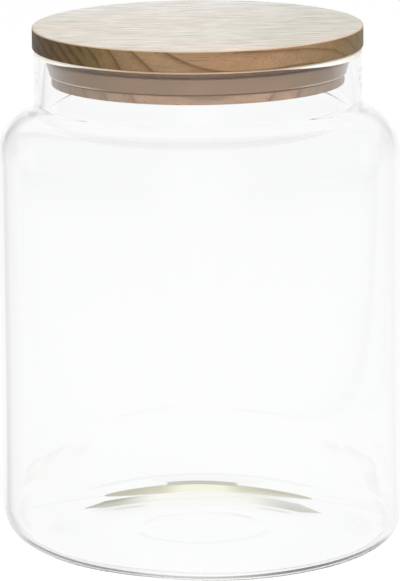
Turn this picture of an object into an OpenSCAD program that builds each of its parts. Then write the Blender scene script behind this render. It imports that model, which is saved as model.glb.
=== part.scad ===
// Glass storage jar with a flat wooden lid.
// The jar stands on Z = 0 with its axis on Z. The lid lifts straight up out of the neck.

/* [Glass jar] */
// Outside diameter of the jar body
body_d = 166; // [145:1:200]
// Height of the glass, from the table to the rim
rim_h = 208.3; // [150:0.1:280]
// Thickness of the side wall
body_wall = 2.7; // [2:0.1:4]
// Outside radius of the heel, where the wall turns in to the base
heel_r = 18; // [14:0.5:24]
// Thickness of the base, beside the foot ring
base_t = 2.7; // [2:0.1:6]
// Radius inside the jar, where the wall turns in to the floor
floor_r = 15.3; // [8:0.1:20]
// Width of the ring that the jar stands on
foot_w = 3; // [1.5:0.1:6]
// How far the middle of the base is pushed up
push_up = 2.5; // [1:0.1:4]
// Diameter of the round mould mark under the base
mark_d = 52; // [30:1:80]
// Depth of the mould mark, at its middle
mark_t = 0.4; // [0.2:0.1:1]
// Outside radius of the round shoulder
shoulder_r = 17.5; // [12:0.5:24]
// Radius of the shoulder inside the jar
shoulder_in_r = 16.5; // [10:0.5:22]
// How much lower the shoulder starts inside the jar than outside
shoulder_drop = 1.5; // [0.5:0.1:4]

/* [Neck] */
// Outside diameter of the straight neck
neck_d = 135; // [110:1:160]
// Thickness of the neck
neck_wall = 3.7; // [2.5:0.1:5]
// Height of the neck, from the crown of the shoulder to the rim
neck_h = 26.3; // [20:0.1:45]
// Outside radius of the hollow between the shoulder and the neck
neck_fillet = 5; // [2:0.5:6]
// Radius of the same hollow inside the glass
neck_fillet_in = 9.5; // [4:0.5:11]
// Radius of the two melted edges of the rim
rim_edge = 1.4; // [0.6:0.1:1.8]

/* [Lid disc] */
// Thickness of the disc
disc_t = 8.6; // [6:0.1:16]
// How far the disc stands out past the neck
disc_overhang = 0.6; // [0:0.1:6]
// Radius of the disc's eased edges
disc_edge = 0.5; // [0.2:0.1:2]

/* [Lid plug] */
// Gap all round between the plug and the inside of the neck
plug_gap = 2.9; // [1.5:0.1:5]
// Thickness of the plug above the groove
land_t = 3.5; // [2:0.1:8]
// Thickness of the plug below the groove
flange_t = 4.2; // [2.5:0.1:8]
// Depth of the groove that holds the seal
groove_depth = 4; // [2:0.1:8]
// Radius of the plug's eased lower edge
plug_edge = 0.5; // [0.2:0.1:1.5]

/* [Seal ring] */
// Height of the seal ring, which fills the groove
seal_h = 6.6; // [4:0.1:10]
// Gap all round between the seal's lip and the inside of the neck
seal_gap = 0.3; // [0.2:0.05:1]
// How much narrower the seal is at its bottom than at its lip, on the radius
seal_slope = 1.5; // [0.5:0.1:2]
// Height of the upright lip at the top of the seal
seal_lip = 1; // [0.5:0.1:2]
// Gap all round between the seal and the bottom of the groove
seal_bore_gap = 0.1; // [0.05:0.05:0.3]

/* [Hidden] */
$fn = 144;
// Sides of the very large circles that arch the base
arch_fn = 1440;
// How far a cut runs past the surface that it opens
overrun = 1;

body_r = body_d / 2;
neck_r = neck_d / 2;
neck_in_r = neck_r - neck_wall;
// Height of the top of the round shoulder, and of the level where the wall starts to turn in
crown_z = rim_h - neck_h;
shoulder_z = crown_z - shoulder_r;
foot_in_r = body_r - heel_r - foot_w;

disc_r = neck_r + disc_overhang;
plug_r = neck_in_r - plug_gap;
groove_r = plug_r - groove_depth;
land_z = rim_h - land_t;
flange_z = land_z - seal_h;
plug_z = flange_z - flange_t;
seal_r = neck_in_r - seal_gap;
seal_foot_r = seal_r - seal_slope;
seal_bore_r = groove_r + seal_bore_gap;

// What is left of a square corner at the origin outside a round of the given radius
module corner_waste(radius) {
    difference() {
        square(radius + overrun);
        circle(radius);
    }
}

// Radius of the arch that rises by rise over the half span reach
function arch_radius(reach, rise) = (reach * reach + rise * rise) / (2 * rise);

// Low arch that stands on the X axis and rises to the height rise at the middle
module arch(reach, rise) {
    intersection() {
        translate([0, rise - arch_radius(reach, rise)])
            circle(arch_radius(reach, rise), $fn = arch_fn);
        square([reach, rise + overrun]);
    }
}

// Half outline of a jar with a round shoulder and a straight neck, filled in to the axis
module jar_outline(wall_radius, neck_radius, shoulder_radius, start_z, fillet, heel, low_z, high_z) {
    shoulder_x = wall_radius - shoulder_radius;
    fillet_x = neck_radius + fillet;
    reach = max(0, fillet_x - shoulder_x);
    fillet_z = start_z + sqrt(pow(shoulder_radius + fillet, 2) - pow(reach, 2));
    // the neck
    translate([0, low_z + heel])
        square([neck_radius, high_z - low_z - heel]);
    // the wall
    translate([0, low_z + heel])
        square([wall_radius, start_z - low_z - heel]);
    // the shoulder
    translate([0, start_z])
        square([shoulder_x, shoulder_radius]);
    translate([shoulder_x, start_z])
        intersection() {
            circle(shoulder_radius);
            square(shoulder_radius);
        }
    // the hollow that blends the shoulder into the neck
    difference() {
        polygon([
            [0, start_z],
            [min(fillet_x, shoulder_x), start_z],
            [fillet_x, fillet_z],
            [0, fillet_z]
        ]);
        translate([fillet_x, fillet_z])
            circle(fillet);
    }
    // the heel
    translate([0, low_z])
        square([wall_radius - heel, heel]);
    translate([wall_radius - heel, low_z + heel])
        mirror([0, 1])
            intersection() {
                circle(heel);
                square(heel);
            }
}

module glass_jar() {
    color([0.86, 0.92, 0.89, 0.35])
        rotate_extrude()
            difference() {
                jar_outline(body_r, neck_r, shoulder_r, shoulder_z, neck_fillet, heel_r, 0, rim_h);
                // the hollow inside, with its floor arched like the base
                difference() {
                    jar_outline(body_r - body_wall, neck_in_r, shoulder_in_r, shoulder_z - shoulder_drop,
                        neck_fillet_in, floor_r, base_t, rim_h + overrun);
                    translate([0, base_t])
                        arch(body_r - body_wall - floor_r, push_up);
                }
                // the pushed-up base and the mould mark in it
                arch(foot_in_r, push_up);
                square([mark_d / 2, push_up + mark_t]);
                // the melted edges of the rim
                translate([neck_r - rim_edge, rim_h - rim_edge])
                    corner_waste(rim_edge);
                translate([neck_in_r + rim_edge, rim_h - rim_edge])
                    mirror([1, 0])
                        corner_waste(rim_edge);
            }
}

module lid_disc() {
    color([0.80, 0.76, 0.68])
        rotate_extrude()
            difference() {
                translate([0, rim_h])
                    square([disc_r, disc_t]);
                translate([disc_r - disc_edge, rim_h + disc_t - disc_edge])
                    corner_waste(disc_edge);
                translate([disc_r - disc_edge, rim_h + disc_edge])
                    mirror([0, 1])
                        corner_waste(disc_edge);
            }
}

module lid_plug() {
    color([0.62, 0.49, 0.39])
        rotate_extrude()
            difference() {
                translate([0, plug_z])
                    square([plug_r, rim_h - plug_z]);
                // the groove for the seal
                translate([groove_r, flange_z])
                    square([groove_depth + overrun, seal_h]);
                translate([plug_r - plug_edge, plug_z + plug_edge])
                    mirror([0, 1])
                        corner_waste(plug_edge);
            }
}

module seal_ring() {
    color([0.72, 0.70, 0.66])
        rotate_extrude()
            polygon([
                [seal_bore_r, flange_z],
                [seal_foot_r, flange_z],
                [seal_r, land_z - seal_lip],
                [seal_r, land_z],
                [seal_bore_r, land_z]
            ]);
}

glass_jar();
lid_disc();
lid_plug();
seal_ring();
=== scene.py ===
from math import asin, atan2, cos, pi, radians, sin, sqrt

import bpy
from mathutils import Matrix, Vector


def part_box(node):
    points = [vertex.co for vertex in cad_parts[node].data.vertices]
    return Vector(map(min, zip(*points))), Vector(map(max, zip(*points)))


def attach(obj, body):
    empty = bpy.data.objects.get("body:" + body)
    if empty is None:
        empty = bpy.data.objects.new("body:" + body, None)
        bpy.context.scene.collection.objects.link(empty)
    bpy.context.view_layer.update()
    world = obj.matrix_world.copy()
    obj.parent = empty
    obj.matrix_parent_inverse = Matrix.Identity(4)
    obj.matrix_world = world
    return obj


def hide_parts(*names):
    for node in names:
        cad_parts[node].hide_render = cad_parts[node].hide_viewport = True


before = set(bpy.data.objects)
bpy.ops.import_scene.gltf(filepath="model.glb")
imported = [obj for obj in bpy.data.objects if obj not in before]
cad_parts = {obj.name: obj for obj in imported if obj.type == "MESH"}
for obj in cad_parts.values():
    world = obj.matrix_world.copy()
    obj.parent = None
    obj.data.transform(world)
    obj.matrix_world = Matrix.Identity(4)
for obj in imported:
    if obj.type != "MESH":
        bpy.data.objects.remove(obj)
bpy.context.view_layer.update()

scene = bpy.context.scene
mm = 0.001

# Glass jar
# One piece of clear pressed-and-blown glass: pushed-up base on a foot ring, round heel, straight wall,
# round shoulder, short neck and a melted rim with a narrow flat land that the lid rests on. The heel is
# a little squarer on the right than on the left.
body_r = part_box("glass_jar")[1].x
rim_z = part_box("glass_jar")[1].z
wall_t = 2.7 * mm
heel_r = 18 * mm
heel_r_right = 12.2 * mm
base_t = 2.7 * mm
foot_w = 3 * mm
push_up = 2.5 * mm
mark_r = 26 * mm
mark_t = 0.05 * mm
mark_soft = 3 * mm
shoulder_r = 17.5 * mm
shoulder_in_r = 16.5 * mm
shoulder_drop = 1.5 * mm
neck_r = 67.5 * mm
neck_t = 3.7 * mm
neck_h = 26.3 * mm
neck_fillet = 5 * mm
neck_fillet_in = 9.5 * mm
rim_edge = 1.4 * mm
ground_in = 1.1 * mm
ground_soft = 0.15 * mm
neck_in_r = neck_r - neck_t
shoulder_z = rim_z - neck_h - shoulder_r
jar_steps = 320
glass_colour = (0.995, 0.998, 0.998, 1)
glass_shadow = (0.955, 0.96, 0.96, 1)
# the ground edge of the rim, with painted light in its colour: tan in front, where it carries the lid's
# colour, and whiter at both sides
ground_tan_painted_light = (0.78, 0.63, 0.44, 1)
ground_white_painted_light = (0.95, 0.92, 0.84, 1)


def arc(centre, radius, start, end, steps):
    """Points (distance out, height) round an arc, with both ends, from start to end in degrees."""
    turns = [radians(start + (end - start) * i / steps) for i in range(steps + 1)]
    return [(centre[0] + radius * cos(t), centre[1] + radius * sin(t)) for t in turns]


def straight(start, end, steps):
    """Points along a line, without its ends."""
    return [
        (start[0] + (end[0] - start[0]) * i / steps, start[1] + (end[1] - start[1]) * i / steps)
        for i in range(1, steps)
    ]


def shoulder(wall_radius, neck_radius, start_z, radius, fillet):
    """Points from the top of a wall, over the shoulder and the hollow above it, to the neck's foot."""
    centre = (wall_radius - radius, start_z)
    hollow_x = neck_radius + fillet
    hollow_z = start_z + sqrt((radius + fillet) ** 2 - (hollow_x - centre[0]) ** 2)
    meet = atan2(hollow_z - centre[1], hollow_x - centre[0]) * 180 / pi
    over = arc(centre, radius, 0, meet, 26)
    up = arc((hollow_x, hollow_z), fillet, meet + 180, 180, 16)
    return over + up[1:]


def arch(reach, rise, steps):
    """Points of a low arch from its foot at reach in to the middle, without its foot."""
    radius = (reach * reach + rise * rise) / (2 * rise)
    tilt = asin(reach / radius)
    return [
        (radius * sin(tilt * (1 - i / steps)), rise - radius + radius * cos(tilt * (1 - i / steps)))
        for i in range(1, steps + 1)
    ]


def glass_outline(heel):
    """Points of the jar's outline, from the middle of the base out, up, over the rim and down inside."""
    floor_r = heel - wall_t
    foot_in_r = body_r - heel - foot_w
    bore_r = body_r - wall_t
    dome = reversed(arch(foot_in_r, push_up, 60))
    dome = [(x, z + mark_t * min(1, max(0, (mark_r - x) / mark_soft + 0.5))) for x, z in dome]
    floor = [(x, z + base_t) for x, z in arch(bore_r - floor_r, push_up, 30)]
    inside = shoulder(bore_r, neck_in_r, shoulder_z - shoulder_drop, shoulder_in_r, neck_fillet_in)
    return (
        dome
        + [(foot_in_r, 0)]
        + straight((foot_in_r, 0), (body_r - heel, 0), 3)
        + arc((body_r - heel, heel), heel, -90, 0, 30)
        + straight((body_r, heel), (body_r, shoulder_z), 24)
        + shoulder(body_r, neck_r, shoulder_z, shoulder_r, neck_fillet)
        + arc((neck_r - rim_edge, rim_z - rim_edge), rim_edge, 0, 90, 8)
        + arc((neck_in_r + rim_edge, rim_z - rim_edge), rim_edge, 90, 180, 8)
        + list(reversed(inside))
        + straight((bore_r, shoulder_z - shoulder_drop), (bore_r, base_t + floor_r), 24)
        + arc((bore_r - floor_r, base_t + floor_r), floor_r, 0, -90, 24)
        + floor
    )


def wire(tree, kind, inputs=None, **settings):
    """Adds a node to a tree. inputs gives each socket a number, a colour or another node's output."""
    made = tree.nodes.new(kind)
    for name, value in settings.items():
        setattr(made, name, value)
    for name, value in (inputs or {}).items():
        if isinstance(value, bpy.types.NodeSocket):
            tree.links.new(value, made.inputs[name])
        else:
            made.inputs[name].default_value = value
    return made


def maths(tree, operation, first, second=0.0, third=0.0):
    """The result of one sum on numbers or node outputs."""
    return wire(tree, "ShaderNodeMath", {0: first, 1: second, 2: third}, operation=operation).outputs[0]


def times(tree, first, second):
    """The product of two numbers or node outputs."""
    return maths(tree, "MULTIPLY", first, second)


def ramp(tree, value, low, high, to_low=0.0, to_high=1.0, smooth=True):
    """A value eased from to_low to to_high while the given value runs from low to high."""
    kind = "SMOOTHSTEP" if smooth else "LINEAR"
    given = {"Value": value, "From Min": low, "From Max": high, "To Min": to_low, "To Max": to_high}
    return wire(tree, "ShaderNodeMapRange", given, interpolation_type=kind).outputs[0]


def blend(tree, share, first, second, kind="MIX"):
    """Two colours mixed by a share from 0 to 1."""
    mixed = wire(tree, "ShaderNodeMix", {0: share}, data_type="RGBA", blend_type=kind)
    for socket, colour in ((mixed.inputs[6], first), (mixed.inputs[7], second)):
        if isinstance(colour, bpy.types.NodeSocket):
            tree.links.new(colour, socket)
        else:
            socket.default_value = colour
    return mixed.outputs[2]


def xyz(tree, vector):
    """The X, Y and Z of a vector."""
    return wire(tree, "ShaderNodeSeparateXYZ", {0: vector}).outputs


def off_axis(tree, place):
    """The distance of a place from the Z axis."""
    flat = wire(tree, "ShaderNodeVectorMath", {0: place, 1: (1, 1, 0)}, operation="MULTIPLY").outputs[0]
    return wire(tree, "ShaderNodeVectorMath", {0: flat}, operation="LENGTH").outputs["Value"]


def empty_material(name):
    """A new material and its node tree, with no nodes in it."""
    made = bpy.data.materials.new(name)
    made.use_nodes = True
    made.node_tree.nodes.clear()
    return made, made.node_tree


# Geometry Nodes tree that turns an outline about the Z axis, as a lathe or a glass mould does. Towards
# the right it goes over to the places stored as "right side", for a piece that isn't quite round.
turning = bpy.data.node_groups.new("turned about the axis", "GeometryNodeTree")
for socket_name, socket_type in (
    ("Outline", "NodeSocketGeometry"),
    ("Outline points", "NodeSocketInt"),
    ("Steps round", "NodeSocketInt"),
    ("Material", "NodeSocketMaterial"),
):
    turning.interface.new_socket(socket_name, in_out="INPUT", socket_type=socket_type)
turning.interface.new_socket("Turned piece", in_out="OUTPUT", socket_type="NodeSocketGeometry")
given = wire(turning, "NodeGroupInput").outputs
columns = maths(turning, "ADD", given["Steps round"], 1.0)
sheet_size = {"Size X": 1.0, "Size Y": 1.0, "Vertices X": given["Outline points"], "Vertices Y": columns}
sheet = wire(turning, "GeometryNodeMeshGrid", sheet_size)
index = wire(turning, "GeometryNodeInputIndex").outputs[0]
row = maths(turning, "FLOOR", maths(turning, "DIVIDE", index, columns))
column = maths(turning, "SUBTRACT", index, times(turning, row, columns))
turn = times(turning, maths(turning, "DIVIDE", column, given["Steps round"]), 2 * pi)


def sampled(value):
    """A vector of the outline, read at the point that stands for the sheet's row."""
    at_row = {"Geometry": given["Outline"], "Index": row}
    reader = wire(turning, "GeometryNodeSampleIndex", at_row, data_type="FLOAT_VECTOR")
    turning.links.new(value, next(s for s in reader.inputs if s.name == "Value" and s.type == "VECTOR"))
    return next(s for s in reader.outputs if s.type == "VECTOR")


left_place = sampled(wire(turning, "GeometryNodeInputPosition").outputs[0])
stored = {"Name": "right side"}
stored = wire(turning, "GeometryNodeInputNamedAttribute", stored, data_type="FLOAT_VECTOR")
right_place = sampled(stored.outputs[0])
cosine = maths(turning, "COSINE", turn)
sine = maths(turning, "SINE", turn)
between = wire(turning, "ShaderNodeMix", {0: ramp(turning, cosine, -0.55, 0.35)}, data_type="VECTOR")
for name, vector in (("A", left_place), ("B", right_place)):
    turning.links.new(vector, next(s for s in between.inputs if s.name == name and s.type == "VECTOR"))
out_xyz = xyz(turning, next(s for s in between.outputs if s.type == "VECTOR"))
turned_xyz = {0: times(turning, out_xyz[0], cosine), 1: times(turning, out_xyz[0], sine), 2: out_xyz[2]}
turned_place = wire(turning, "ShaderNodeCombineXYZ", turned_xyz).outputs[0]
shaped = {"Geometry": sheet.outputs["Mesh"], "Position": turned_place}
shaped = wire(turning, "GeometryNodeSetPosition", shaped).outputs[0]
closed = {"Geometry": shaped, "Distance": 0.001 * mm}
closed = wire(turning, "GeometryNodeMergeByDistance", closed).outputs[0]
outward = wire(turning, "GeometryNodeFlipFaces", {"Mesh": closed}).outputs[0]
smooth = {"Geometry": outward, "Shade Smooth": True}
smooth = wire(turning, "GeometryNodeSetShadeSmooth", smooth).outputs[0]
whole = wire(turning, "GeometryNodeRealizeInstances", {"Geometry": smooth}).outputs[0]
coated = {"Geometry": whole, "Material": given["Material"]}
coated = wire(turning, "GeometryNodeSetMaterial", coated).outputs[0]
wire(turning, "NodeGroupOutput", {"Turned piece": coated})


def turned_piece(name, outline, steps_round, material, right_outline=None):
    """The mesh object that the turning tree makes of an outline of (distance from the axis, height)."""
    line = bpy.data.meshes.new(name)
    line.from_pydata([(x, 0, z) for x, z in outline], [(i, i + 1) for i in range(len(outline) - 1)], [])
    at_right = line.attributes.new("right side", "FLOAT_VECTOR", "POINT")
    for point, (x, z) in zip(at_right.data, right_outline or outline):
        point.vector = (x, 0, z)
    piece = bpy.data.objects.new(name, line)
    scene.collection.objects.link(piece)
    turner = piece.modifiers.new("turned", "NODES")
    turner.node_group = turning
    values = {"Outline points": len(outline), "Steps round": steps_round, "Material": material}
    for socket in turning.interface.items_tree:
        if socket.in_out == "INPUT" and socket.name in values:
            turner[socket.identifier] = values[socket.name]
    shown = piece.evaluated_get(bpy.context.evaluated_depsgraph_get())
    mesh = bpy.data.meshes.new_from_object(shown)
    piece.modifiers.clear()
    piece.data = mesh
    bpy.data.meshes.remove(line)
    mesh.name = name
    return piece


clear_glass, tree = empty_material("clear glass")
clear = {"Base Color": glass_colour, "Roughness": 0.0, "IOR": 1.52, "Transmission Weight": 1.0}
clear = wire(tree, "ShaderNodeBsdfPrincipled", clear).outputs[0]
place = wire(tree, "ShaderNodeTexCoord").outputs["Object"]
at = xyz(tree, place)
# the rim's outer edge is ground matt, in a band that gets higher towards both sides
band_right = ramp(tree, at[0], 30 * mm, 66 * mm, 0.75 * mm, 2.8 * mm)
band_left = ramp(tree, at[0], -42 * mm, -66 * mm, 0.0, 1.4 * mm)
band = maths(tree, "ADD", band_right, band_left)
below_band = maths(tree, "SUBTRACT", maths(tree, "SUBTRACT", rim_z, at[2]), band)
outer_edge = neck_r - ground_in
outer_edge = ramp(tree, off_axis(tree, place), outer_edge - 0.2 * mm, outer_edge + 0.2 * mm)
ground_share = times(tree, ramp(tree, below_band, -ground_soft, ground_soft, 1.0, 0.0), outer_edge)
to_sides = ramp(tree, maths(tree, "ABSOLUTE", at[0]), 25 * mm, 50 * mm)
ground_painted_tone = blend(tree, to_sides, ground_tan_painted_light, ground_white_painted_light)
# painted glow: the ground edge gives off a little light for what the glass carries to it, more on the
# left than on the right
painted_glow_left = ramp(tree, at[0], -15 * mm, -50 * mm, 0.12, 0.3)
painted_glow_right = ramp(tree, at[0], 10 * mm, 45 * mm, 0.0, -0.09)
painted_glow = maths(tree, "ADD", painted_glow_left, painted_glow_right)
ground = {
    "Base Color": ground_painted_tone,
    "Roughness": 0.6,
    "Emission Color": ground_painted_tone,
    "Emission Strength": painted_glow,
}
ground = wire(tree, "ShaderNodeBsdfPrincipled", ground).outputs[0]
glass = wire(tree, "ShaderNodeMixShader", {0: ground_share, 1: clear, 2: ground}).outputs[0]
# lamp light passes straight through, so the jar throws hardly any shadow
is_shadow = wire(tree, "ShaderNodeLightPath").outputs["Is Shadow Ray"]
see_through = wire(tree, "ShaderNodeBsdfTransparent", {"Color": glass_shadow}).outputs[0]
let_lamps = wire(tree, "ShaderNodeMixShader", {0: is_shadow, 1: glass, 2: see_through}).outputs[0]
wire(tree, "ShaderNodeOutputMaterial", {"Surface": let_lamps})
# light caught in the thick glass at the foot of the neck turns many times before it comes out
light_turns = 96
scene.cycles.max_bounces = light_turns
scene.cycles.transmission_bounces = light_turns
scene.cycles.glossy_bounces = light_turns

left_outline, right_outline = glass_outline(heel_r), glass_outline(heel_r_right)
jar = turned_piece("clear_glass_jar", left_outline, jar_steps, clear_glass, right_outline)
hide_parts("glass_jar")
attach(jar, "jar")

# Lid disc
# A round board of planed hardwood with its grain from side to side, lightly oiled and wiped. Its flat
# face is painted pale, partly its own colour and partly a painted sheen. Cut with a small eased arris at
# both edges; it rests on the rim.
disc_r = neck_r + 0.6 * mm
disc_low, disc_high = rim_z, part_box("lid_disc")[1].z
disc_mid = (disc_low + disc_high) / 2
disc_edge = 0.5 * mm
disc_steps = 360
ring_gap = 6 * mm
heart_y = -44 * mm
heart_z = disc_mid - 18.6 * mm
heart_tilt = 0.3
disc_early = (0.325, 0.202, 0.112, 1)
disc_late = (0.155, 0.08, 0.038, 1)
disc_end_grain = (0.12, 0.09, 0.047, 1)
top_streak = (0.54, 0.49, 0.405, 1)
top_pale_sheen = (0.87, 0.84, 0.765, 1)
arris_highlight = (0.63, 0.48, 0.34, 1)
disc_outline = (
    [(0, disc_low)]
    + straight((0, disc_low), (disc_r - disc_edge, disc_low), 12)
    + arc((disc_r - disc_edge, disc_low + disc_edge), disc_edge, -90, 0, 6)
    + straight((disc_r, disc_low + disc_edge), (disc_r, disc_high - disc_edge), 6)
    + arc((disc_r - disc_edge, disc_high - disc_edge), disc_edge, 0, 90, 6)
    + straight((disc_r - disc_edge, disc_high), (0, disc_high), 12)
    + [(0, disc_high)]
)


def hump(tree, value, rise, fall):
    """A value eased up from 0 to 1 over one stretch and down again over another."""
    return times(tree, ramp(tree, value, *rise), ramp(tree, value, *fall, 1.0, 0.0))


def tint(tree, share, colour, factor):
    """A colour multiplied by a factor colour, by a share from 0 to 1."""
    return blend(tree, share, colour, factor, "MULTIPLY")


def grey(tree, value):
    """The grey colour of a value."""
    return wire(tree, "ShaderNodeCombineColor", {0: value, 1: value, 2: value}).outputs[0]


def noise(tree, place, stretch, detail=2.0, rough=0.5):
    """Soft noise from 0 to 1 whose spots are 1 / stretch metres along X, Y and Z."""
    spread = {0: place, 1: stretch}
    spread = wire(tree, "ShaderNodeVectorMath", spread, operation="MULTIPLY").outputs[0]
    cloud = {"Vector": spread, "Scale": 1.0, "Detail": detail, "Roughness": rough}
    return wire(tree, "ShaderNodeTexNoise", cloud).outputs[0]


# Shader node group for solid wood: growth rings about a slightly tilted heart line that runs along X,
# fibres along X, open pores, and darker end grain where a face looks along X
wood = bpy.data.node_groups.new("solid wood", "ShaderNodeTree")
for socket_name, socket_type, start in (
    ("Ring gap", "NodeSocketFloat", 8.5 * mm),
    ("Heart Y", "NodeSocketFloat", 0.0),
    ("Heart Z", "NodeSocketFloat", 0.0),
    ("Heart tilt", "NodeSocketFloat", 0.0),
    ("Early wood", "NodeSocketColor", (0.4, 0.3, 0.2, 1)),
    ("Late wood", "NodeSocketColor", (0.2, 0.13, 0.08, 1)),
    ("End grain", "NodeSocketColor", (0.2, 0.16, 0.1, 1)),
    ("Ring strength", "NodeSocketFloat", 1.0),
):
    made = wood.interface.new_socket(socket_name, in_out="INPUT", socket_type=socket_type)
    made.default_value = start
wood.interface.new_socket("Color", in_out="OUTPUT", socket_type="NodeSocketColor")
wood.interface.new_socket("Streaks", in_out="OUTPUT", socket_type="NodeSocketFloat")
given = wire(wood, "NodeGroupInput").outputs
coords = wire(wood, "ShaderNodeTexCoord").outputs
place = coords["Object"]
facing = xyz(wood, coords["Normal"])
at = xyz(wood, place)
# growth rings: a broad soft band of late wood that ends in a thin dark line
from_y = maths(wood, "SUBTRACT", at[1], given["Heart Y"])
from_z = maths(wood, "MULTIPLY_ADD", at[0], given["Heart tilt"], at[2])
from_z = maths(wood, "SUBTRACT", from_z, given["Heart Z"])
from_heart = maths(wood, "ADD", times(wood, from_y, from_y), times(wood, from_z, from_z))
from_heart = maths(wood, "SQRT", from_heart)
wander = maths(wood, "SUBTRACT", noise(wood, place, (10, 24, 24), 3.0), 0.5)
from_heart = maths(wood, "MULTIPLY_ADD", wander, 5 * mm, from_heart)
part = maths(wood, "FRACT", maths(wood, "DIVIDE", from_heart, given["Ring gap"]))
band = hump(wood, part, (0.5, 0.88), (0.9, 1.0))
line = hump(wood, part, (0.78, 0.87), (0.9, 0.97))
late = maths(wood, "ADD", times(wood, band, 0.45), times(wood, line, 0.55))
late = times(wood, late, given["Ring strength"])
late = times(wood, late, ramp(wood, from_heart, 6 * mm, 8 * mm))
tone = blend(wood, late, given["Early wood"], given["Late wood"])
end = maths(wood, "POWER", maths(wood, "ABSOLUTE", facing[0]), 2.0)
tone = blend(wood, times(wood, end, 0.75), tone, given["End grain"])
# fibres and pores, then redder and greener patches
fine = noise(wood, place, (24, 1400, 1400), 3.0, 0.6)
broad = noise(wood, place, (7, 210, 210), 3.0, 0.6)
pores = ramp(wood, noise(wood, place, (90, 2300, 2300), 0.0), 0.66, 0.76)
light = maths(wood, "MULTIPLY_ADD", fine, 0.5, 0.75)
light = times(wood, light, maths(wood, "MULTIPLY_ADD", broad, 0.5, 0.75))
light = times(wood, light, maths(wood, "MULTIPLY_ADD", pores, -0.28, 1.0))
tone = tint(wood, 1.0, tone, grey(wood, light))
patch = ramp(wood, noise(wood, place, (14, 45, 45), 2.0), 0.35, 0.65)
tone = tint(wood, 1.0, tone, blend(wood, patch, (0.97, 1.02, 1.0, 1), (1.05, 0.98, 0.97, 1)))
wire(wood, "NodeGroupOutput", {"Color": tone, "Streaks": light})


def wood_of(tree, **inputs):
    """Adds the solid wood group to a material. Gives its colour and a normal with the fibres raised."""
    made = wire(tree, "ShaderNodeGroup", node_tree=wood)
    for name, value in inputs.items():
        made.inputs[name.replace("_", " ")].default_value = value
    raised = {"Strength": 0.25, "Distance": 0.05 * mm, "Height": made.outputs["Streaks"]}
    return made.outputs["Color"], wire(tree, "ShaderNodeBump", raised).outputs[0]


disc_wood, tree = empty_material("lid wood")
grain, fibres = wood_of(
    tree,
    Ring_gap=ring_gap,
    Heart_Y=heart_y,
    Heart_Z=heart_z,
    Heart_tilt=heart_tilt,
    Early_wood=disc_early,
    Late_wood=disc_late,
    End_grain=disc_end_grain,
    Ring_strength=0.85,
)
coords = wire(tree, "ShaderNodeTexCoord").outputs
place = coords["Object"]
facing = xyz(tree, coords["Normal"])
at = xyz(tree, place)
# the edge is dark and olive on the left, and a little lighter right of the middle
edge_tone = tint(tree, ramp(tree, at[0], -18 * mm, -50 * mm), grain, (0.63, 0.6, 0.42, 1))
edge_tone = tint(tree, ramp(tree, at[0], 15 * mm, 30 * mm), edge_tone, (1.07, 1.12, 1.13, 1))
right_tone = tint(tree, 1.0, grain, (1.0, 0.97, 0.8, 1))
edge_tone = blend(tree, ramp(tree, at[0], 38 * mm, 62 * mm), edge_tone, right_tone)
edge_tone = tint(tree, ramp(tree, at[0], -50 * mm, -62 * mm), edge_tone, (0.85, 0.79, 0.62, 1))
# the rings stand steep and close at the left end
steep_gap = 4.3 * mm
steep = maths(tree, "MULTIPLY_ADD", maths(tree, "SUBTRACT", at[2], disc_mid), 0.8, at[0])
steep = maths(tree, "MULTIPLY_ADD", noise(tree, place, (60, 60, 60), 2.0), 2.4 * mm, steep)
steep = maths(tree, "FRACT", maths(tree, "DIVIDE", steep, steep_gap))
steep = hump(tree, steep, (0.25, 0.75), (0.8, 1.0))
steep = times(tree, steep, ramp(tree, at[0], -44 * mm, -47 * mm, 0.0, 0.8))
edge_tone = tint(tree, steep, edge_tone, (0.52, 0.47, 0.4, 1))
# the flat faces are painted pale, partly their own colour and partly a painted sheen, in short soft
# streaks, bluer towards the back and greyer towards the right
streaks = noise(tree, place, (48, 420, 420), 3.0, 0.75)
flecks = noise(tree, place, (120, 1100, 1100), 2.0, 0.6)
streaks = maths(tree, "MULTIPLY_ADD", flecks, 0.35, times(tree, streaks, 0.65))
clouds = ramp(tree, noise(tree, place, (9, 34, 34), 2.0), 0.38, 0.62)
pale = blend(tree, ramp(tree, streaks, 0.3, 0.66), top_streak, top_pale_sheen)
pale = tint(tree, clouds, pale, (1.03, 0.975, 0.955, 1))
pale = tint(tree, ramp(tree, at[1], 5 * mm, 60 * mm), pale, (1.06, 1.1, 1.16, 1))
pale = tint(tree, ramp(tree, at[0], 5 * mm, 50 * mm), pale, (0.86, 0.87, 0.86, 1))
tone = blend(tree, ramp(tree, facing[2], 0.55, 0.95), edge_tone, pale)
# painted highlight: the eased upper arris catches the light as a cream line
arris = ramp(tree, off_axis(tree, place), disc_r - 1.0 * mm, disc_r - 0.3 * mm)
arris = times(tree, arris, ramp(tree, at[2], disc_high - 0.6 * mm, disc_high - 0.3 * mm))
tone = blend(tree, times(tree, arris, 0.85), tone, arris_highlight)
gloss = ramp(tree, facing[2], 0.55, 0.95, 0.2, 0.35)
oiled = {"Base Color": tone, "Roughness": 0.5, "Specular IOR Level": gloss, "Normal": fibres}
oiled = wire(tree, "ShaderNodeBsdfPrincipled", oiled).outputs[0]
wire(tree, "ShaderNodeOutputMaterial", {"Surface": oiled})

disc = turned_piece("wooden_lid_disc", disc_outline, disc_steps, disc_wood)
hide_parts("lid_disc")
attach(disc, "lid")

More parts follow.
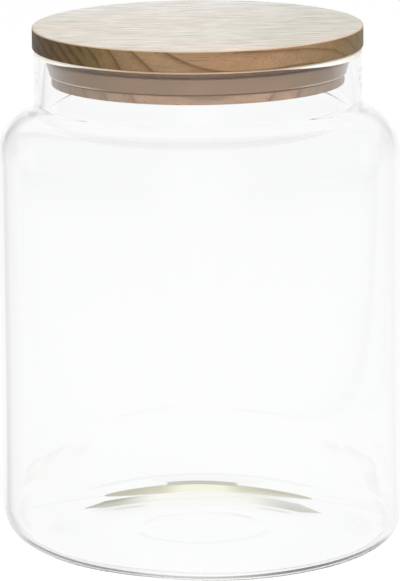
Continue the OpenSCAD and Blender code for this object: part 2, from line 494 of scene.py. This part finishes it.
# Lid plug
# A smaller round board glued under the disc, of the same wood without the pale face. A square groove is
# turned in its side for the seal, which leaves a narrow flange below.
plug_r = neck_in_r - 2.9 * mm
groove_r = plug_r - 4 * mm
land_z = rim_z - 3.5 * mm
flange_z = land_z - 6.6 * mm
plug_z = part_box("lid_plug")[0].z
plug_edge = 0.5 * mm
groove_edge = 0.4 * mm
land_edge = 0.15 * mm
glue_t = 0.01 * mm
plug_steps = 240
plug_early = (0.56, 0.34, 0.21, 1)
plug_late = (0.29, 0.16, 0.09, 1)
plug_end_grain = (0.30, 0.20, 0.13, 1)
plug_gap_shade = (0.23, 0.1, 0.03, 1)
underside_pale = (0.8, 0.75, 0.67, 1)
plug_outline = (
    [(0, plug_z)]
    + straight((0, plug_z), (plug_r - plug_edge, plug_z), 12)
    + arc((plug_r - plug_edge, plug_z + plug_edge), plug_edge, -90, 0, 5)
    + [
        (plug_r, flange_z - groove_edge),
        (plug_r - groove_edge, flange_z),
        (groove_r, flange_z),
        (groove_r, land_z),
        (plug_r - land_edge, land_z),
        (plug_r, land_z + land_edge),
        (plug_r, rim_z - glue_t),
        (0, rim_z - glue_t),
    ]
)
plug_wood, tree = empty_material("plug wood")
grain, fibres = wood_of(
    tree,
    Ring_gap=6.5 * mm,
    Heart_Y=30 * mm,
    Heart_Z=plug_z - 30 * mm,
    Heart_tilt=0.05,
    Early_wood=plug_early,
    Late_wood=plug_late,
    End_grain=plug_end_grain,
    Ring_strength=0.7,
)
coords = wire(tree, "ShaderNodeTexCoord").outputs
facing = xyz(tree, coords["Normal"])
at = xyz(tree, coords["Object"])
# browner above the groove, and darker on the left
above = ramp(tree, at[2], land_z - 1 * mm, land_z)
tone = tint(tree, 1.0, grain, blend(tree, above, (0.95, 1.0, 1.05, 1), (0.97, 0.8, 0.4, 1)))
tone = tint(tree, ramp(tree, at[0], -20 * mm, -48 * mm), tone, (0.87, 0.87, 0.88, 1))
# painted shade in the narrow gaps where the seal meets the wood, above and below it
gap_shade = ramp(tree, at[2], flange_z - 0.9 * mm, flange_z - 0.5 * mm, 0.0, 0.85)
gap_shade = times(tree, gap_shade, ramp(tree, at[2], land_z + 0.9 * mm, land_z + 1.6 * mm, 1.0, 0.0))
tone = blend(tree, gap_shade, tone, plug_gap_shade)
# its flat underside is pale, like the top of the disc
tone = blend(tree, ramp(tree, facing[2], -0.9, -0.98), tone, underside_pale)
planed = {"Base Color": tone, "Roughness": 0.5, "Normal": fibres}
planed = wire(tree, "ShaderNodeBsdfPrincipled", planed).outputs[0]
wire(tree, "ShaderNodeOutputMaterial", {"Surface": planed})

plug = turned_piece("wooden_lid_plug", plug_outline, plug_steps, plug_wood)
plug.data.shade_flat()
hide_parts("lid_plug")
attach(plug, "lid")

# Seal ring
# Moulded translucent silicone, snapped into the groove. Its outside tapers down from a soft lip, which
# stays a hair clear of the neck.
seal_r = neck_in_r - 0.3 * mm
seal_foot_r = seal_r - 1.5 * mm
seal_bore_r = groove_r + 0.1 * mm
lip_h = 1 * mm
lip_round = 0.6 * mm
seal_steps = 240
silicone_dark = (0.33, 0.205, 0.115, 1)
silicone_light = (0.385, 0.245, 0.14, 1)
silicone_edge_highlight = (0.86, 0.8, 0.72, 1)
seal_outline = (
    [(seal_bore_r, flange_z)]
    + arc((seal_foot_r - lip_round, flange_z + lip_round), lip_round, -90, 0, 4)
    + straight((seal_foot_r, flange_z + lip_round), (seal_r, land_z - lip_h), 10)
    + [(seal_r, land_z - lip_h)]
    + arc((seal_r - lip_round, land_z - lip_round), lip_round, 0, 90, 4)
    + [(seal_bore_r, land_z), (seal_bore_r, flange_z)]
)
silicone, tree = empty_material("silicone")
place = wire(tree, "ShaderNodeTexCoord").outputs["Object"]
at = xyz(tree, place)
out_x = maths(tree, "ABSOLUTE", at[0])
tone = blend(tree, noise(tree, place, (60, 60, 300), 2.0), silicone_dark, silicone_light)
# painted shade: darker towards both sides, which evens out the glancing reflections that light them up,
# and darker on the left
tone = tint(tree, ramp(tree, out_x, 30 * mm, 55 * mm), tone, (0.8, 0.77, 0.72, 1))
tone = tint(tree, ramp(tree, at[0], -20 * mm, -48 * mm), tone, (0.9, 0.89, 0.8, 1))
# painted highlight: a pale lower edge at both sides, where light gathers in it
lower_edge_highlight = ramp(tree, at[2], flange_z + 0.4 * mm, flange_z + 0.9 * mm, 1.0, 0.0)
lower_edge_highlight = times(tree, lower_edge_highlight, ramp(tree, out_x, 34 * mm, 46 * mm, 0.0, 0.9))
tone = blend(tree, lower_edge_highlight, tone, silicone_edge_highlight)
moulded = {"Base Color": tone, "Roughness": 0.35, "IOR": 1.41}
moulded = wire(tree, "ShaderNodeBsdfPrincipled", moulded).outputs[0]
wire(tree, "ShaderNodeOutputMaterial", {"Surface": moulded})

seal = turned_piece("silicone_seal_ring", seal_outline, seal_steps, silicone)
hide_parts("seal_ring")
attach(seal, "lid")

# Floor
# A pale matt sheet under and behind the jar. Its colour holds painted shade for what shows on it through
# the
# glass: painted shadows of the base, the foot ring and the mould mark, and a darker zone at both sides.
floor_reach = 3.0
floor_drop = 0.05 * mm
zone_x = 21 * mm
zone_y = -100 * mm
base_shadow_y = 84.3 * mm
base_shadow_half_w = 45.5 * mm
base_shadow_half_t = 9.5 * mm
cap_y = 10 * mm
ring_shadow_y = 63 * mm
ring_second_y = 12 * mm
faint_shadow_y = 109 * mm
mould_mark_y = 10.4 * mm
mould_mark_r = 27.9 * mm
white = (1, 1, 1, 1)
black = (0, 0, 0, 1)
corners = [(-floor_reach, -floor_reach, 0), (floor_reach, -floor_reach, 0)]
corners += [(floor_reach, floor_reach, 0), (-floor_reach, floor_reach, 0)]
floor_mesh = bpy.data.meshes.new("floor")
floor_mesh.from_pydata(corners, [], [(0, 1, 2, 3)])
floor_piece = bpy.data.objects.new("floor", floor_mesh)
floor_piece.location.z = -floor_drop
scene.collection.objects.link(floor_piece)


def ray_kinds(tree):
    """The light path's outputs, the rays that show the room, and those that show it in the glass."""
    ray = wire(tree, "ShaderNodeLightPath").outputs
    mirrored = maths(tree, "MAXIMUM", ray["Is Glossy Ray"], ray["Is Transmission Ray"])
    seen = maths(tree, "MAXIMUM", ray["Is Camera Ray"], mirrored)
    in_glass = maths(tree, "SUBTRACT", mirrored, times(tree, mirrored, ray["Is Camera Ray"]))
    return ray, seen, in_glass


def dark_zone(tree, aside):
    """The share of the darker zone at both sides, at so many metres aside for each metre back."""
    near = times(tree, ramp(tree, aside, 0.5, 0.6), ramp(tree, aside, 0.7, 0.8, 1.0, 0.45))
    return times(tree, near, ramp(tree, aside, 0.9, 1.3, 1.0, 0.0))


def distance(tree, first, squared):
    """The length that has one side given and the other one squared."""
    return maths(tree, "SQRT", maths(tree, "MULTIPLY_ADD", first, first, squared))


floor_paint, tree = empty_material("pale floor")
ray, seen, in_glass = ray_kinds(tree)
place = wire(tree, "ShaderNodeTexCoord").outputs["Object"]
at = xyz(tree, place)
out_x = maths(tree, "ABSOLUTE", at[0])
squared = times(tree, at[0], at[0])
from_jar = wire(tree, "ShaderNodeVectorMath", {0: place}, operation="LENGTH").outputs["Value"]
aside = maths(tree, "MAXIMUM", maths(tree, "SUBTRACT", at[1], zone_y), 0.01)
aside = maths(tree, "DIVIDE", maths(tree, "SUBTRACT", out_x, zone_x), aside)
# the darker zones, only for light that the glass has turned back at least once
dimmed = times(tree, dark_zone(tree, aside), ramp(tree, at[0], 0.0, 0.05, 1.0, 0.25))
dimmed = times(tree, times(tree, dimmed, 0.25), ramp(tree, at[1], -0.03, 0.0))
dimmed = times(tree, dimmed, maths(tree, "MINIMUM", ray["Glossy Depth"], 1.0))
far_side = times(tree, ramp(tree, aside, 1.3, 1.8), ramp(tree, from_jar, 0.8, 0.95, 0.0, 0.2))
far_side = times(tree, far_side, ramp(tree, out_x, 0.25, 0.5))
level = ramp(tree, from_jar, 0.1, 1.1, 0.985, 0.955)
level = times(tree, level, ramp(tree, aside, 0.08, 0.25, 1.01, 0.99))
for zone in (far_side, dimmed):
    level = times(tree, maths(tree, "SUBTRACT", 1.0, zone), level)
# the base's shadow behind the jar, dark at both sides and pale in the middle, where light comes through
bend = maths(tree, "SQRT", maths(tree, "ADD", squared, 0.0001))
behind = maths(tree, "MULTIPLY_ADD", squared, 3.0, maths(tree, "MULTIPLY_ADD", bend, 0.33, at[1]))
behind = maths(tree, "SUBTRACT", maths(tree, "MULTIPLY_ADD", at[0], 0.08, behind), base_shadow_y)
along = maths(tree, "DIVIDE", maths(tree, "SUBTRACT", at[0], 2.5 * mm), base_shadow_half_w)
half = maths(tree, "MAXIMUM", maths(tree, "SUBTRACT", 1.0, times(tree, along, along)), 0.0)
half = times(tree, maths(tree, "SQRT", half), base_shadow_half_t)
within = maths(tree, "SUBTRACT", maths(tree, "ABSOLUTE", behind), half)
within = ramp(tree, within, -1.2 * mm, 0.8 * mm, 1.0, 0.0)
middle = blend(tree, noise(tree, place, (60, 500, 1), 2.0), (1.0, 0.98, 0.8, 1), (0.93, 0.9, 0.7, 1))
ends = blend(tree, ramp(tree, out_x, 18 * mm, 34 * mm), (0.62, 0.6, 0.43, 1), (0.47, 0.455, 0.32, 1))
shadow = blend(tree, ramp(tree, out_x, 7 * mm, 20 * mm), middle, ends)
marks = blend(tree, within, white, shadow)
cap = maths(tree, "ABSOLUTE", maths(tree, "SUBTRACT", behind, cap_y))
cap = ramp(tree, cap, 3.2 * mm, 4.4 * mm, 1.0, 0.0)
cap = times(tree, cap, ramp(tree, out_x, 14.5 * mm, 16.5 * mm, 1.0, 0.0))
marks = blend(tree, cap, marks, (0.55, 0.55, 0.47, 1))
# the shadow of the foot ring, with a thin second edge, and a faint one farther back
nearer = maths(tree, "MULTIPLY_ADD", squared, 10.0, maths(tree, "MULTIPLY_ADD", at[0], 0.12, at[1]))
nearer = maths(tree, "SUBTRACT", nearer, ring_shadow_y)
half = ramp(tree, out_x, 42 * mm, 54 * mm, -7 * mm, 2 * mm, False)
within = maths(tree, "ADD", maths(tree, "ABSOLUTE", nearer), half)
within = ramp(tree, within, -1 * mm, 0.6 * mm, 1.0, 0.0)
shadow = blend(tree, ramp(tree, out_x, 18 * mm, 38 * mm), (1.0, 0.99, 0.87, 1), (0.22, 0.22, 0.08, 1))
marks = tint(tree, within, marks, shadow)
second = maths(tree, "ABSOLUTE", maths(tree, "ADD", nearer, ring_second_y))
second = ramp(tree, second, 0.8 * mm, 2.2 * mm, 1.0, 0.0)
second = times(tree, second, hump(tree, out_x, (22 * mm, 27 * mm), (35 * mm, 40 * mm)))
marks = tint(tree, second, marks, (0.62, 0.62, 0.5, 1))
farther = maths(tree, "SUBTRACT", maths(tree, "MULTIPLY_ADD", squared, 11.5, at[1]), faint_shadow_y)
farther = ramp(tree, maths(tree, "ABSOLUTE", farther), 1 * mm, 4 * mm, 0.07, 0.0)
farther = times(tree, farther, ramp(tree, at[1], 0.07, 0.09))
# painted shadow of the lower half of the mould mark
apart = distance(tree, maths(tree, "SUBTRACT", at[1], mould_mark_y), squared)
apart = maths(tree, "ABSOLUTE", maths(tree, "SUBTRACT", apart, mould_mark_r))
mould_edge = ramp(tree, apart, 0.5 * mm, 2.4 * mm, 0.1, 0.0)
mould_edge = times(tree, mould_edge, ramp(tree, at[1], 5 * mm, -2 * mm))
marks = tint(tree, maths(tree, "ADD", farther, mould_edge), marks, black)
# painted shade: the narrow dark line where the heel nears the floor in front
back = maths(tree, "SUBTRACT", at[1], ramp(tree, at[0], -45 * mm, 30 * mm, 15.4 * mm, 8.6 * mm))
apart = distance(tree, back, squared)
apart = maths(tree, "SUBTRACT", apart, ramp(tree, at[0], -45 * mm, 30 * mm, 84 * mm, 82.1 * mm))
heel_shade_line = ramp(tree, maths(tree, "ABSOLUTE", apart), 0.9 * mm, 1.7 * mm, 1.0, 0.0)
heel_shade_line = times(tree, heel_shade_line, ramp(tree, at[1], 0, -26 * mm))
heel_shade_line = times(tree, heel_shade_line, ramp(tree, out_x, 5 * mm, 45 * mm, 0.5, 1.0))
marks = tint(tree, heel_shade_line, marks, black)
tone = blend(tree, in_glass, white, tint(tree, 1.0, grey(tree, level), marks))
# little lamp light counts in the glass, and the floor's own light makes up for it
lit = tint(tree, 1.0, tone, grey(tree, maths(tree, "MULTIPLY_ADD", in_glass, -0.85, 0.9)))
matt = wire(tree, "ShaderNodeBsdfDiffuse", {"Color": lit}).outputs[0]
glow = maths(tree, "MULTIPLY_ADD", in_glass, 0.513, ramp(tree, from_jar, 0.1, 1.2, 0.44, 0.46))
# far off, where little lamp light falls, the floor stays as white as the surround
far_glow = ramp(tree, from_jar, 1.1, 3.0, 0.0, 0.15, False)
glow = maths(tree, "MULTIPLY_ADD", ray["Is Camera Ray"], far_glow, glow)
bright = {"Color": tone, "Strength": times(tree, seen, glow)}
bright = wire(tree, "ShaderNodeEmission", bright).outputs[0]
both = wire(tree, "ShaderNodeAddShader", {0: matt, 1: bright}).outputs[0]
wire(tree, "ShaderNodeOutputMaterial", {"Surface": both})
floor_mesh.materials.append(floor_paint)

# Surround and lamps
# A plain white room, with a large soft lamp above on the right and a weak one low in front. Seen in the
# glass, the surround is darker at both sides and low behind the jar, which draws the lines of the wall.
room_light = 0.45
zone_grey = (0.68, 0.68, 0.68, 1)
low_grey = (0.64, 0.64, 0.64, 1)
glass_white = (0.965, 0.965, 0.965, 1)
sky = bpy.data.worlds.new("studio")
scene.world = sky
sky.use_nodes = True
tree = sky.node_tree
tree.nodes.clear()
seen, in_glass = ray_kinds(tree)[1:]
towards = xyz(tree, wire(tree, "ShaderNodeTexCoord").outputs["Generated"])
aside = maths(tree, "MAXIMUM", towards[1], 0.01)
aside = maths(tree, "DIVIDE", maths(tree, "ABSOLUTE", towards[0]), aside)
right_share = ramp(tree, towards[0], 0.0, 0.1, in_glass, times(tree, in_glass, 0.25))
at_side = times(tree, dark_zone(tree, aside), right_share)
right_share = ramp(tree, towards[0], -0.05, 0.05, in_glass, times(tree, in_glass, 0.6))
low_back = times(tree, hump(tree, towards[2], (0.02, 0.07), (0.22, 0.3)), right_share)
low_back = times(tree, low_back, hump(tree, aside, (0.08, 0.18), (0.9, 1.3)))
surround = blend(tree, in_glass, white, glass_white)
surround = blend(tree, at_side, surround, zone_grey)
surround = blend(tree, low_back, surround, low_grey)
strength = ramp(tree, seen, 0.0, 1.0, room_light, 1.0, False)
light = wire(tree, "ShaderNodeBackground", {"Color": surround, "Strength": strength}).outputs[0]
wire(tree, "ShaderNodeOutputWorld", {"Surface": light})


def soft_lamp(name, size, watts, place, aim):
    """An oblong lamp aimed at a place, which shows neither to the camera nor in the glass."""
    lamp = bpy.data.lights.new(name, "AREA")
    lamp.shape = "RECTANGLE"
    lamp.size, lamp.size_y = size
    lamp.energy = watts
    held = bpy.data.objects.new(name, lamp)
    held.location = place
    held.rotation_euler = (Vector(aim) - held.location).to_track_quat("-Z", "Y").to_euler()
    held.visible_camera = False
    held.visible_transmission = False
    held.visible_glossy = False
    scene.collection.objects.link(held)
    return lamp


soft_lamp("softbox", size=(1.2, 1.0), watts=15, place=(0.45, -0.7, 1.4), aim=(0, 0, 0.15))
fill = soft_lamp("fill", size=(0.8, 0.8), watts=7, place=(-0.1, -1.6, 0.45), aim=(0, 0, 0.2))
fill.use_shadow = False

# Camera
# Stands well back, above the rim, and looks a little down. Its distance, height, tilt, roll and lens
# come from fitting the outline of the jar and lid in the picture.
camera_far = 2.1787
camera_high = 0.5592
camera_tilt = 0.2053
camera_roll = 0.0095
focal_px = 5365.6
image_h_px = 581
lens = bpy.data.cameras.new("camera")
lens.sensor_width = 36
lens.lens = focal_px / image_h_px * lens.sensor_width
camera = bpy.data.objects.new("camera", lens)
camera.matrix_world = (
    Matrix.Translation((0, -camera_far, camera_high))
    @ Matrix.Rotation(pi / 2 - camera_tilt, 4, "X")
    @ Matrix.Rotation(-camera_roll, 4, "Z")
)
scene.collection.objects.link(camera)
scene.camera = camera
scene.view_settings.view_transform = "Standard"
